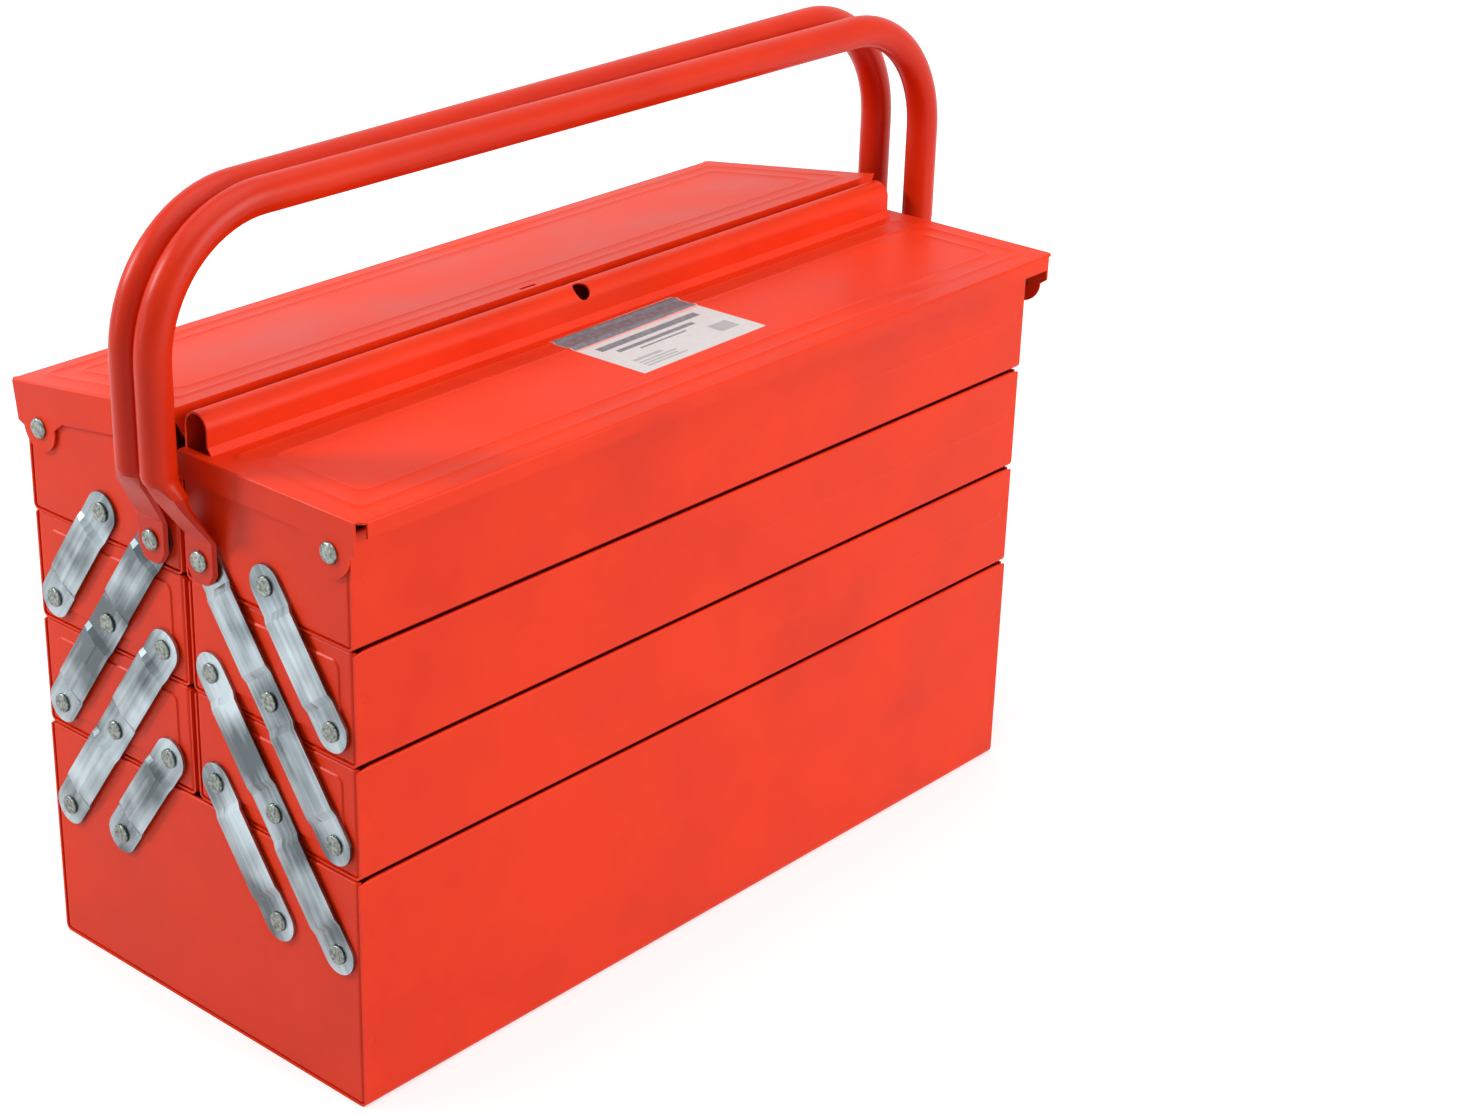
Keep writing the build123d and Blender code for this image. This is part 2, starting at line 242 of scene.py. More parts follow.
def standAt(piece, place, along, out):  # local X goes along, local Z goes out
    along, out = Vector(along).normalized(), Vector(out).normalized()
    across = out.cross(along)
    turn = Matrix((along, across, out)).transposed().to_4x4()
    hold(piece)
    piece.matrix_world = Matrix.Translation(place) @ turn
    bpy.ops.object.transform_apply(location=True, rotation=True, scale=True)


def drill(piece, place, along, out):  # a rivet hole, right through the sheet
    tool = addRod("drill", rivetHole, -drillReach, drillReach)
    standAt(tool, place, along, out)
    carve(piece, tool)


# Finishes
def linear(code):  # an sRGB hex colour as the linear values that nodes take
    parts = [int(code[i:i + 2], 16) / 255 for i in (1, 3, 5)]
    return [p / 12.92 if p <= 0.04045 else ((p + 0.055) / 1.055) ** 2.4 for p in parts] + [1]


def plug(tree, node, links):  # each input takes a value, or follows a socket
    for key, value in links.items():
        if isinstance(value, bpy.types.NodeSocket):
            tree.links.new(value, node.inputs[key])
        else:
            node.inputs[key].default_value = value


def addNode(tree, kind, links=None, stops=(), **settings):  # stops are a colour ramp's places and colours
    node = tree.nodes.new("ShaderNode" + kind)
    for key, value in settings.items():
        setattr(node, key, value)
    plug(tree, node, links or {})
    for i, (at, colour) in enumerate(stops):
        node.color_ramp.elements[i].position = at
        node.color_ramp.elements[i].color = colour
    return node


def newFinish(name):
    finish = bpy.data.materials.new(name)
    finish.use_nodes = True
    tree = finish.node_tree
    shader = tree.nodes["Principled BSDF"]
    place = addNode(tree, "TexCoord").outputs["Object"]
    return finish, tree, shader, place


# Red polyester powder coat, baked on sheet steel: even and deep, satin-glossy with a faint orange peel
powderCoat = {
    "red": "#E4340A",
    "deepRed": "#D52B06",
    "peel": 1.3 * mm,  # width of one orange-peel bump
    "peelHigh": 0.10 * mm,
    "peelStrength": 0.12,
    "cloud": 70 * mm,  # width of the slow changes in gloss
    "roughness": (0.36, 0.48),
    "specular": 0.2,
}
# The tube handles' coat is the trays' red made darker, as painted shade for their dimly lit sides, and a
# little glossier
shadedTubeCoat = dict(powderCoat, red="#D02B06", deepRed="#C12304", roughness=(0.30, 0.40))


def makePowderCoat(name, s):
    finish, tree, shader, place = newFinish(name)
    cloud = addNode(tree, "TexNoise", {"Vector": place, "Scale": 1 / s["cloud"],
                                       "Detail": 3, "Roughness": 0.55}).outputs["Fac"]
    colour = addNode(tree, "ValToRGB", {"Fac": cloud},
                     stops=[(0.3, linear(s["deepRed"])), (0.65, linear(s["red"]))])
    gloss = addNode(tree, "MapRange", {"Value": cloud, "From Min": 0.3, "From Max": 0.7,
                                       "To Min": s["roughness"][0], "To Max": s["roughness"][1]})
    peel = addNode(tree, "TexNoise", {"Vector": place, "Scale": 1 / s["peel"],
                                      "Detail": 2, "Roughness": 0.5}).outputs["Fac"]
    bump = addNode(tree, "Bump", {"Height": peel, "Strength": s["peelStrength"], "Distance": s["peelHigh"]})
    plug(tree, shader, {
        "Base Color": colour.outputs["Color"],
        "Roughness": gloss.outputs["Result"],
        "Normal": bump.outputs["Normal"],
        "Specular IOR Level": s["specular"],
    })
    return finish


# Blue-passivated zinc on pressed strip: cool slate-grey metal with soft clouds, and with streaks along the
# strip from rolling, drawn coarser than real ones so that they show
zincPlate = {
    "light": "#B3C0C6",
    "shade": "#5A6266",
    "cloud": 34 * mm,  # width of one cloud
    "streakShare": 0.2,  # of the pattern, the clouds being the rest
    "streakLong": 60 * mm,
    "streakWide": 2.6 * mm,
    "streakHigh": 0.15 * mm,
    "streakStrength": 0.15,
    "roughness": (0.20, 0.34),
}


def makeZincPlate():
    s = zincPlate
    finish, tree, shader, place = newFinish("bluePassivatedZinc")
    split = addNode(tree, "SeparateXYZ", {"Vector": place}).outputs
    outward = addNode(tree, "Math", {0: split["Y"]}, operation="ABSOLUTE").outputs[0]
    spot = addNode(tree, "CombineXYZ", {"X": split["X"], "Y": outward, "Z": split["Z"]}).outputs[0]
    along = Vector((0, -linkStep[0], linkStep[1])).normalized() / s["streakLong"]
    across = Vector((0, linkStep[1], linkStep[0])).normalized() / s["streakWide"]
    ways = [addNode(tree, "VectorMath", {0: spot, 1: way}, operation="DOT_PRODUCT").outputs["Value"]
            for way in (along, across)]
    strip = addNode(tree, "CombineXYZ", {"X": ways[0], "Y": ways[1]}).outputs[0]
    streak = addNode(tree, "TexNoise", {"Vector": strip, "Scale": 1,
                                        "Detail": 2, "Roughness": 0.4}).outputs["Fac"]
    cloud = addNode(tree, "TexNoise", {"Vector": place, "Scale": 1 / s["cloud"],
                                       "Detail": 2, "Roughness": 0.5}).outputs["Fac"]
    both = addNode(tree, "Mix", {0: s["streakShare"], 2: cloud, 3: streak})
    colour = addNode(tree, "ValToRGB", {"Fac": both.outputs[0]},
                     stops=[(0.40, linear(s["shade"])), (0.62, linear(s["light"]))])
    gloss = addNode(tree, "MapRange", {"Value": cloud, "From Min": 0.35, "From Max": 0.65,
                                       "To Min": s["roughness"][0], "To Max": s["roughness"][1]})
    bump = addNode(tree, "Bump", {"Height": streak, "Strength": s["streakStrength"],
                                  "Distance": s["streakHigh"]})
    plug(tree, shader, {
        "Base Color": colour.outputs["Color"],
        "Roughness": gloss.outputs["Result"],
        "Normal": bump.outputs["Normal"],
        "Metallic": 1,
    })
    return finish


# Zinc-plated steel rivets, their faces dulled and dented by the riveting tool
rivetSteel = {
    "light": "#959A95",
    "shade": "#565B57",
    "mark": 1.5 * mm,  # width of one dent
    "markHigh": 0.18 * mm,
    "markStrength": 0.4,
    "roughness": 0.34,
}


def makeRivetSteel():
    s = rivetSteel
    finish, tree, shader, place = newFinish("plainRivetSteel")
    mark = addNode(tree, "TexNoise", {"Vector": place, "Scale": 1 / s["mark"],
                                      "Detail": 3, "Roughness": 0.6}).outputs["Fac"]
    colour = addNode(tree, "ValToRGB", {"Fac": mark},
                     stops=[(0.36, linear(s["shade"])), (0.62, linear(s["light"]))])
    bump = addNode(tree, "Bump", {"Height": mark, "Strength": s["markStrength"], "Distance": s["markHigh"]})
    plug(tree, shader, {
        "Base Color": colour.outputs["Color"],
        "Roughness": s["roughness"],
        "Normal": bump.outputs["Normal"],
        "Metallic": 1,
    })
    return finish


# Printing on a coated paper label: matt, with the paper's faint mottling under the ink
labelPrint = {
    "mottle": 2.5 * mm,  # coarser than real paper's, so that it shows
    "mottleHigh": 0.05 * mm,
    "mottleStrength": 0.1,
    "paler": 0.1,  # how far towards white the mottling goes
    "roughness": 0.42,
}


def makePrint(name, code):
    s = labelPrint
    finish, tree, shader, place = newFinish(name)
    mottle = addNode(tree, "TexNoise", {"Vector": place, "Scale": 1 / s["mottle"],
                                        "Detail": 3, "Roughness": 0.6}).outputs["Fac"]
    ink = linear(code)
    paler = [p + s["paler"] * (1 - p) for p in ink]
    colour = addNode(tree, "ValToRGB", {"Fac": mottle}, stops=[(0.35, ink), (0.7, paler)])
    bump = addNode(tree, "Bump", {"Height": mottle, "Strength": s["mottleStrength"],
                                  "Distance": s["mottleHigh"]})
    plug(tree, shader, {
        "Base Color": colour.outputs["Color"],
        "Roughness": s["roughness"],
        "Normal": bump.outputs["Normal"],
    })
    return finish


redPaint = makePowderCoat("redPowderCoat", powderCoat)
# the handles' darker red is painted shade, not a different paint
shadedTubePaint = makePowderCoat("redTubePowderCoatPaintedShade", shadedTubeCoat)
zinc = makeZincPlate()
rivetMetal = makeRivetSteel()
print("finishes made")


def dress(piece, body, finish, node):
    modify(piece, "WEIGHTED_NORMAL", keep_sharp=True)  # broad faces stay flat beside their rounded edges
    piece.data.materials.clear()
    piece.data.materials.append(finish)
    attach(piece, body)
    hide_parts(node)


# Folded pans: bottom and two long walls in one sheet
pan = {
    "sheet": 0.95 * mm,
    "bend": 3 * mm,
    "hem": 5 * mm,  # how far the rim is folded down inside
    "fold": 2 * mm,  # two sheets thick
    "foldRound": 0.9 * mm,
    "notch": 12 * mm,  # the fold stops short of its ends, where the end sheet comes
    "weldInset": 4.5 * mm,  # from the wall's end
    "weldRadius": 2.6 * mm,
    "weldDepth": 0.14 * mm,
    "boxWelds": (30 * mm, 26 * mm),  # up from the box's bottom, and down from its rim
    "trayWeld": 3 * mm,  # up from the middle of a tray's wall
    "edgeRound": 0.25 * mm,
}


def makePan(name, node, weldHeights):
    low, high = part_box(node)
    piece = addBlock(name, low, high)
    pick(piece, "EDGE", lambda p, d: abs(d.x) > mostly and p.z < low.z + tiny)
    bpy.ops.mesh.bevel(offset=pan["bend"], segments=6, affect="EDGES")
    pick(piece, "FACE", lambda p, n: n.z > mostly or abs(n.x) > mostly)
    bpy.ops.mesh.delete(type="FACE")
    shorter = 1 - 2 * pan["notch"] / (high.x - low.x)
    for side, wall in ((-1, low.y), (1, high.y)):
        pick(piece, "EDGE", lambda p, d: abs(d.x) > mostly and p.z > high.z - tiny and same(p.y, wall))
        extrude((0, -side * pan["fold"], 0))
        bpy.ops.transform.resize(value=(shorter, 1, 1), center_override=(0, wall, high.z))
        extrude((0, 0, -pan["hem"]))
    pick(piece, "EDGE", lambda p, d: abs(d.x) > mostly and p.z > high.z - tiny)
    bpy.ops.mesh.bevel(offset=pan["foldRound"], segments=3, affect="EDGES")
    pointOut(piece, lambda f: f.normal.z < -mostly or f.normal.y * f.center.y > 0)
    thicken(piece, pan["sheet"])
    welds = []
    for x in (low.x + pan["weldInset"], high.x - pan["weldInset"]):
        for z in weldHeights:
            for side, wall in ((-1, low.y), (1, high.y)):
                deselectAll()
                bpy.ops.mesh.primitive_uv_sphere_add(segments=20, ring_count=10, radius=pan["weldRadius"],
                                                     location=(x, wall, z))
                bpy.context.object.scale = (1, pan["weldDepth"] / pan["weldRadius"], 1)
                welds.append(settle("weld"))
    carve(piece, together("welds", welds))
    soften(piece, pan["edgeRound"])
    return piece


low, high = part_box("box_pan")
boxPan = makePan("boxPan", "box_pan", [low.z + pan["boxWelds"][0], high.z - pan["boxWelds"][1]])
dress(boxPan, "box", redPaint, "box_pan")
for level in (1, 2, 3):
    for half in halves:
        node = f"{half}_tray_{level}_pan"
        low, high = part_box(node)
        tray = makePan(f"{half}Tray{level}Pan", node, [(low.z + high.z) / 2 + pan["trayWeld"]])
        dress(tray, f"{half}_tray_{level}", redPaint, node)
print("pans folded")


# End sheets, welded inside the pans
endSheet = {
    "sheet": 0.95 * mm,
    "bend": 2 * mm,
    "hem": 5 * mm,  # the rim is folded as on the pans
    "fold": 2 * mm,
    "foldRound": 0.9 * mm,
    "relief": 6.5 * mm,  # the side flanges stop this far below the rim
    "emboss": 0.6 * mm,
    "embossMargin": 5.5 * mm,
    "embossSlope": 0.7 * mm,
    "embossCorner": 4 * mm,
    "fieldNear": 8 * mm,  # only the raised field has its middle this close to the sheet's
    "edgeRound": 0.25 * mm,
}


def makeEnd(name, node, embossed, holes):  # the left one; the right one is its mirror image
    low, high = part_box(node)
    raised = endSheet["emboss"] if embossed else 0
    face = low.x + raised
    piece = addBlock(name, (face, low.y, low.z), high)
    pick(piece, "FACE", lambda p, n: n.z > mostly or n.x > mostly)
    bpy.ops.mesh.delete(type="FACE")
    pick(piece, "EDGE", lambda p, d: p.z < low.z + tiny and (p.x < face + tiny or abs(d.x) > mostly)
         or abs(d.z) > mostly and p.x < face + tiny)
    bpy.ops.mesh.bevel(offset=endSheet["bend"], segments=4, affect="EDGES")
    if embossed:
        pick(piece, "FACE", lambda p, n: n.x < -fully)
        bpy.ops.mesh.inset(thickness=endSheet["embossMargin"])
        middle = (low + high) / 2
        near = endSheet["fieldNear"]
        field = lambda p, n: n.x < -fully and abs(p.y - middle.y) < near and abs(p.z - middle.z) < near
        pick(piece, "FACE", field)
        bpy.ops.mesh.bevel(offset=endSheet["embossCorner"], segments=5, affect="VERTICES")
        pick(piece, "FACE", field)
        bpy.ops.mesh.inset(thickness=endSheet["embossSlope"], depth=raised)
    pick(piece, "EDGE", lambda p, d: abs(d.y) > mostly and p.z > high.z - tiny and p.x < face + tiny)
    extrude((endSheet["fold"], 0, 0))
    extrude((0, 0, -endSheet["hem"]))
    pick(piece, "EDGE", lambda p, d: abs(d.y) > mostly and p.z > high.z - tiny)
    bpy.ops.mesh.bevel(offset=endSheet["foldRound"], segments=3, affect="EDGES")
    reliefHigh = high.z - endSheet["relief"]
    flange = lambda p, n: abs(n.y) > mostly and p.x > face + endSheet["bend"]
    cut(piece, flange, (0, 0, reliefHigh), (0, 0, 1))
    pick(piece, "FACE", lambda p, n: flange(p, n) and p.z > reliefHigh)
    bpy.ops.mesh.delete(type="FACE")
    pointOut(piece, lambda f: f.normal.x < 0)
    thicken(piece, endSheet["sheet"])
    for y, z in holes:
        drill(piece, (face, y, z), (0, 1, 0), (-1, 0, 0))
    soften(piece, endSheet["edgeRound"])
    return piece


boxHoles = [(side * y, rows[0]) for side in halves.values() for y in columns[1:]]
boxLeftEnd = makeEnd("boxLeftEnd", "box_left_end", False, boxHoles)
boxRightEnd = mirrored(boxLeftEnd, "boxRightEnd", (-1, 1, 1))
dress(boxLeftEnd, "box", redPaint, "box_left_end")
dress(boxRightEnd, "box", redPaint, "box_right_end")
trayHoles = {
    1: [(-y, rows[1]) for y in columns],
    2: [(-y, rows[2]) for y in columns],
    3: [(-columns[0], rows[3]), (-columns[1], rows[3]), (-lidHinge[0], lidHinge[1])],
}
for level, holes in trayHoles.items():
    first = makeEnd(f"frontTray{level}LeftEnd", f"front_tray_{level}_left_end", level < 3, holes)
    for half, y in halves.items():
        for end, x in ends.items():
            name = f"{half}Tray{level}{end.title()}End"
            piece = first if (y, x) == (-1, -1) else mirrored(first, name, (-x, -y, 1))
            dress(piece, f"{half}_tray_{level}", redPaint, f"{half}_tray_{level}_{end}_end")
print("end sheets pressed")


# Rivets
rivet = {
    "shank": 2.5 * mm,
    "tail": 4 * mm,
    "tailHigh": 1 * mm,
    "plateIn": 1 * mm,  # the tail sits this far behind the box's end face
    # the two heads: the round is a share of the height, and the rings in the top are (width, rise)
    "flat": {"radius": 4.3 * mm, "high": 1.05 * mm, "round": 0.45, "steps": 3,
             "rings": ((1.0 * mm, -0.12 * mm), (1.1 * mm, 0.10 * mm))},
    "domed": {"radius": 4.6 * mm, "high": 1.5 * mm, "round": 0.85, "steps": 6,
              "rings": ((1.5 * mm, 0.15 * mm),)},
    # what a rivet holds: its head, and how far above the end face that rests at the left and at the right
    "link": ("flat", 1.7 * mm, 1.7 * mm),
    "tab": ("domed", 4.4 * mm, 4.4 * mm),
    "ear": ("domed", 1.6 * mm, 12.1 * mm),
    "shoulderFrom": 8.8 * mm,  # a head that rests further out than this has a shoulder behind it
    "shoulder": 4 * mm,
    "held": 1.15 * mm,  # from under such a head down to the shoulder
    "footGap": 0.1 * mm,  # between the shoulder and the end face
    "edgeRound": 0.2 * mm,
    "edgeAngle": 40,
}


def makeRivet(kind, headAt):  # it points up, and its head rests headAt above the end face
    head = rivet[kind]
    shank = rivet["shank"]
    top = headAt + head["high"]
    piece = addRod("rivet", head["radius"], headAt, top)
    pick(piece, "EDGE", lambda p, d: p.z > top - tiny and abs(d.z) < hardly)
    bpy.ops.mesh.bevel(offset=head["round"] * head["high"], segments=head["steps"], affect="EDGES")
    pick(piece, "FACE", lambda p, n: p.z > top - tiny)
    for width, rise in head["rings"]:
        bpy.ops.mesh.inset(thickness=width, depth=rise)
    pick(piece, "FACE", lambda p, n: n.z < -fully)
    bpy.ops.mesh.inset(thickness=head["radius"] - shank)
    foot = headAt
    if headAt > rivet["shoulderFrom"]:
        foot = rivet["footGap"]
        extrude((0, 0, -rivet["held"]))
        widen(rivet["shoulder"] / shank)
        extrude((0, 0, rivet["held"] - headAt + foot))
        bpy.ops.mesh.inset(thickness=rivet["shoulder"] - shank)
    extrude((0, 0, -foot - rivet["plateIn"]))
    widen(rivet["tail"] / shank)
    extrude((0, 0, -rivet["tailHigh"]))
    soften(piece, rivet["edgeRound"], rivet["edgeAngle"])
    return piece


def rivetGroup(name, node, body, holds, spots):  # one rivet at each (y, z) of the spots, at both ends
    kind, *headsAt = rivet[holds]
    group = []
    for end, headAt in zip(ends.values(), headsAt):
        for y, z in spots:
            piece = makeRivet(kind, headAt)
            standAt(piece, (end * boxEnd, y, z), (0, 1, 0), (end, 0, 0))
            group.append(piece)
    dress(together(name, group), body, rivetMetal, node)


rivetGroup("boxRivets", "box_rivets", "box", "link", boxHoles)
for half, side in halves.items():
    for level in (1, 2):
        tray = f"{half}_tray_{level}"
        spots = [(side * y, rows[level]) for y in columns]
        rivetGroup(f"{half}Tray{level}Rivets", tray + "_rivets", tray, "link", spots)
    tray = f"{half}_tray_3"
    rivetGroup(half + "Tray3Rivets", tray + "_rivets", tray, "link", [(side * columns[1], rows[3])])
    rivetGroup(half + "HandleRivets", half + "_handle_rivets", tray, "tab", [(side * columns[0], rows[3])])
    rivetGroup(half + "LidRivets", half + "_lid_rivets", tray, "ear", [(side * lidHinge[0], lidHinge[1])])
print("rivets set")


# Links, pressed from zinc-plated strip
link = {
    "width": 18 * mm,
    "sheet": 1.35 * mm,
    "lobeHigh": 1.4 * mm,
    "start": 10.5 * mm,  # from a pivot to the foot of the ramp
    "startUnderTab": 12.3 * mm,  # the same under a handle's tab, which swings over it
    "ramp": 3.2 * mm,
    "ridge": 1.2 * mm,  # the ridge runs this far off the middle
    "ridgeStep": 0.8 * mm,  # width of the sharp step down beside it
    "stepDown": 0.55 * mm,
    "shoulder": 6 * mm,
    "edgeRise": 0.95 * mm,
    "shoulderRise": 1.55 * mm,
    "ridgeRise": 2.4 * mm,
    "stand": 0.15 * mm,  # room between the link and the end face
    "edgeRound": 0.3 * mm,
    "edgeAngle": 8,
}


def makeLink(name, spans, lastStart):  # it lies along X from its lower pivot, face up
    half = link["width"] / 2
    total = spans * linkLength
    top = link["lobeHigh"]
    piece = addPlane(name, 0, total, -half, half, top)
    ridge, shoulder = link["ridge"], link["shoulder"]
    slope = (link["ridgeRise"] - link["shoulderRise"]) / (shoulder + ridge)
    step = link["ridgeStep"]
    rises = {-half: link["edgeRise"], -shoulder: link["shoulderRise"]}
    rises.update({y: link["ridgeRise"] - (ridge - y) * slope for y in (-ridge - step, -ridge, 0, ridge)})
    rises.update({ridge + step: link["ridgeRise"] - link["stepDown"], shoulder: link["shoulderRise"],
                  half: link["edgeRise"]})
    for y in rises:
        if abs(y) < half:
            cut(piece, everyFace, (0, y, 0), (0, 1, 0))
    for i in range(spans):
        x0 = i * linkLength + link["start"]
        x1 = (i + 1) * linkLength - (lastStart if i == spans - 1 else link["start"])
        for x in (x0, x0 + link["ramp"], x1 - link["ramp"], x1):
            cut(piece, everyFace, (x, 0, 0), (1, 0, 0))
        inside = lambda p: x0 + link["ramp"] - tiny < p.x < x1 - link["ramp"] + tiny
        for y, rise in rises.items():
            nudge(piece, lambda p: inside(p) and same(p.y, y), (0, 0, rise))
    for x, side in ((0, 1), (total, -1)):
        pick(piece, "EDGE", lambda p, d: same(p.x, x) and abs(d.x) < hardly and p.y * side > 0)
        bpy.ops.mesh.spin(steps=18, angle=-math.pi, center=(x, 0, top), axis=(0, 0, 1))
    mergeDoubles(piece)
    pointOut(piece, lambda f: f.normal.z > 0)
    thicken(piece, link["sheet"])
    for i in range(spans + 1):
        drill(piece, (i * linkLength, 0, 0), (1, 0, 0), (0, 0, 1))
    soften(piece, link["edgeRound"], link["edgeAngle"])
    return piece


linkKinds = [  # kind, spans, and the row and column of the lower pivot
    ("lower_short", 1, 0, 1),
    ("lower_long", 2, 0, 2),
    ("upper_long", 2, 1, 2),
    ("upper_short", 1, 2, 2),
]
for kind, spans, row, column in linkKinds:
    title = kind.title().replace("_", "")
    lastStart = link["startUnderTab" if kind == "upper_long" else "start"]
    first = makeLink(f"frontLeft{title}Link", spans, lastStart)
    lowerPivot = (-boxEnd - link["stand"], -columns[column], rows[row])
    standAt(first, lowerPivot, (0, *linkStep), (-1, 0, 0))
    for half, y in halves.items():
        for end, x in ends.items():
            name = f"{half}{end.title()}{title}Link"
            piece = first if (y, x) == (-1, -1) else mirrored(first, name, (-x, -y, 1))
            dress(piece, f"{half}_{kind}_links", zinc, f"{half}_{end}_{kind}_link")
print("links pressed")


# Lids
lid = {
    "sheet": 0.95 * mm,
    "topOverRim": 6.5 * mm,
    "lip": 7.5 * mm,
    "flange": 12 * mm,
    "foldRound": 1.1 * mm,
    "notch": 4.6 * mm,  # gap at the corner between the lip and the end flange
    "cornerCut": 2.6 * mm,
    "earRadius": 10.5 * mm,
    "earFoot": 17 * mm,  # from the hinge to where the ear begins
    "frameMargin": 8.6 * mm,
    "framePitch": 10.5 * mm,
    "frameWidth": 4.6 * mm,
    "frameCrest": 0.8 * mm,
    "frameHigh": 0.55 * mm,
    "frameCorner": 7 * mm,
    "beadRadius": 6.85 * mm,
    "beadHigh": 16.4 * mm,
    "beadInset": (4.5 * mm, 9.5 * mm),  # how far short of the lid's left and right ends the bead stops
    "footRun": 2 * mm,  # the bead starts with a slope, of this run and rise
    "footRise": 3 * mm,
    "beadFrameGap": 3.85 * mm,
    "halfGap": 1.3 * mm,  # from the middle to each lid's inner edge
    "restGap": 0.3 * mm,  # between the trays' rims and what rests on them
    "haspX": 2.8 * mm,
    "haspHole": 4.4 * mm,  # radius
    "haspTurn": 43,  # degrees that the hasp hole faces away from straight up
    # the rear lid's hasp slot, from the middle of its inner edge
    "slotX": (-18 * mm, -8 * mm),
    "slotY": (-5 * mm, -2.5 * mm),
    "slotZ": (-3 * mm, 3 * mm),
    "tilt": 8.3,  # degrees that the rear lid leans
    "lift": 3 * mm,  # how much higher the rear lid's panel stands over its hinge
    "rearFlange": 16 * mm,
    "relief": 11 * mm,  # the rear lid's flanges stop this far short of its inner corners
    # the long faces and edges have their middle this close to the lid's, and the field's is this far in
    "central": 50 * mm,
    "fieldIn": 25 * mm,
    "edgeRound": 0.25 * mm,
    "edgeAngle": 30,
}
lidTop = rimHigh + lid["topOverRim"]
lidX0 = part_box("front_lid")[0].x
lidX1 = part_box("front_lid")[1].x
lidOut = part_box("front_lid")[0].y
lidMiddle = (lidX0 + lidX1) / 2
frameFlank = (lid["frameWidth"] - lid["frameCrest"]) / 2


def central(p):
    return abs(p.x - lidMiddle) < lid["central"]


def pressFrame(piece, test):  # a rounded raised frame along the edge of the face that test finds
    pick(piece, "FACE", test)
    bpy.ops.mesh.bevel(offset=lid["frameCorner"], segments=5, affect="VERTICES")
    pick(piece, "FACE", test)
    bpy.ops.mesh.inset(thickness=frameFlank, depth=lid["frameHigh"])
    bpy.ops.mesh.inset(thickness=lid["frameCrest"], depth=0)
    bpy.ops.mesh.inset(thickness=frameFlank, depth=-lid["frameHigh"])


def lidPanel(name, inner, frameInner):  # a panel at the front, with its two pressed frames
    piece = addPlane(name, lidX0, lidX1, lidOut, inner, lidTop)
    margin = lid["frameMargin"]
    field = lambda p, n: central(p) and lidOut + lid["fieldIn"] < p.y < inner - lid["fieldIn"]
    pick(piece, "FACE", field)
    bpy.ops.mesh.inset(thickness=margin)
    nudge(piece, lambda p: same(p.y, inner - margin), (0, margin - frameInner, 0))
    pressFrame(piece, field)
    pick(piece, "FACE", field)
    bpy.ops.mesh.delete(type="FACE")
    step = margin + lid["framePitch"]
    smaller = (lidX0 + step, lidX1 - step, lidOut + step, inner - frameInner - lid["framePitch"])
    second = addPlane("secondFrame", *smaller, lidTop)
    pressFrame(second, field)
    piece = together(name, [piece, second])
    x0, x1, y0, y1 = smaller
    gap = lid["framePitch"] - lid["frameWidth"] + tiny
    pick(piece, "rim", lambda p, d: x0 - gap < p.x < x1 + gap and y0 - gap < p.y < y1 + gap)
    bpy.ops.mesh.bridge_edge_loops()
    return piece


def lidSides(piece, inner, flangeInner, flange, lift):  # lip, end flanges and hinge ears
    outerStrip = lambda p, n: n.z > mostly and p.y < lidOut + lid["frameMargin"] and central(p)
    for x in (lidX0 + lid["notch"], lidX1 - lid["notch"]):
        cut(piece, outerStrip, (x, 0, 0), (1, 0, 0))
    lipLine = lambda p, d: abs(d.x) > mostly and same(p.y, lidOut) and central(p)
    pick(piece, "EDGE", lambda p, d: lipLine(p, d) and same(p.z, lidTop))
    extrude((0, 0, -lid["lip"]))
    hingeY, hingeZ = -lidHinge[0], lidHinge[1] - lift
    low = lidTop - flange
    for x in (lidX0, lidX1):
        pick(piece, "EDGE", lambda p, d: abs(d.y) > mostly and same(p.x, x))
        extrude((0, 0, -flange))
        onFlange = lambda p, n: abs(n.x) > mostly and same(p.x, x)
        for y in (hingeY + lid["earFoot"], flangeInner):
            if y < inner - tiny:
                cut(piece, onFlange, (0, y, 0), (0, 1, 0))
        if flangeInner < inner - tiny:
            pick(piece, "FACE", lambda p, n: onFlange(p, n) and p.y > flangeInner)
            bpy.ops.mesh.delete(type="FACE")
        ear = lambda p: same(p.x, x) and p.y < hingeY + lid["earFoot"] + tiny
        pick(piece, "EDGE", lambda p, d: abs(d.y) > mostly and ear(p) and same(p.z, low))
        extrude((0, 0, hingeZ - low))
        wide = lid["earRadius"]
        for y0, y1 in ((lidOut, hingeY - wide), (hingeY + lid["earFoot"], hingeY + wide)):
            nudge(piece, lambda p: ear(p) and same(p.z, hingeZ) and same(p.y, y0), (0, y1 - y0, 0))
        pick(piece, "EDGE", lambda p, d: abs(d.y) > mostly and ear(p) and same(p.z, hingeZ))
        extrude((0, 0, -wide))
        pick(piece, "VERT", lambda p: ear(p) and p.z < hingeZ - wide + tiny)
        bpy.ops.mesh.bevel(offset=wide - tiny, segments=10, affect="VERTICES")
    endLine = lambda p, d: abs(d.y) > mostly and (same(p.x, lidX0) or same(p.x, lidX1))
    pick(piece, "EDGE", lambda p, d: same(p.z, lidTop) and (lipLine(p, d) or endLine(p, d)))
    bpy.ops.mesh.bevel(offset=lid["foldRound"], segments=3, affect="EDGES")


def cutCorners(piece):  # the two outer corners, at 45 degrees
    for x, side in ((lidX0, -1), (lidX1, 1)):
        pickAll(piece)
        bpy.ops.mesh.bisect(plane_co=(x - side * lid["cornerCut"], lidOut, 0), plane_no=(side, -1, 0),
                            clear_outer=True)


